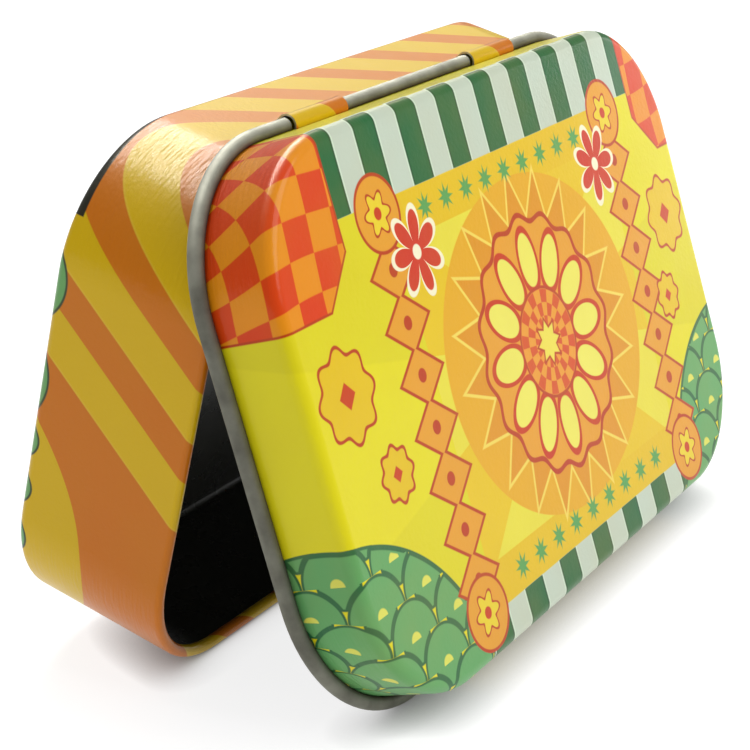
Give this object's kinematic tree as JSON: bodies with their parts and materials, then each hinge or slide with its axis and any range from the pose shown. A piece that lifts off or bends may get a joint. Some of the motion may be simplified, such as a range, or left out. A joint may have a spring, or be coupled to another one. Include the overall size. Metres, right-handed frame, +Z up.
{
  "type": "hinged card game tin",
  "caption": "Shallow rounded rectangular tinplate tin with a hinged lid, a beaded lid edge and a curled base rim, propped open like a tent.",
  "frame": {"origin": "middle of the footprint, on the surface that the tin stands on", "axes": "+X along the hinge, +Z up, -Y towards the lid; the tin stands as a tent with its hinge on top"},
  "size_m": [0.105, 0.0568, 0.067],
  "materials": {
    "base_tinplate": "printed tinplate, satin lacquer",
    "lid_tinplate": "printed tinplate, satin lacquer"
  },
  "bodies": {
    "base": {"base_shell": "base_tinplate"},
    "lid": {"lid_shell": "lid_tinplate"}
  },
  "joints": [
    {"name": "lid_hinge", "type": "hinge", "parent": "base", "child": "lid", "pos_m": [0, -0.00109, 0.06539], "axis": [-1, 0, 0], "range_deg": [-32, 148]}
  ]
}
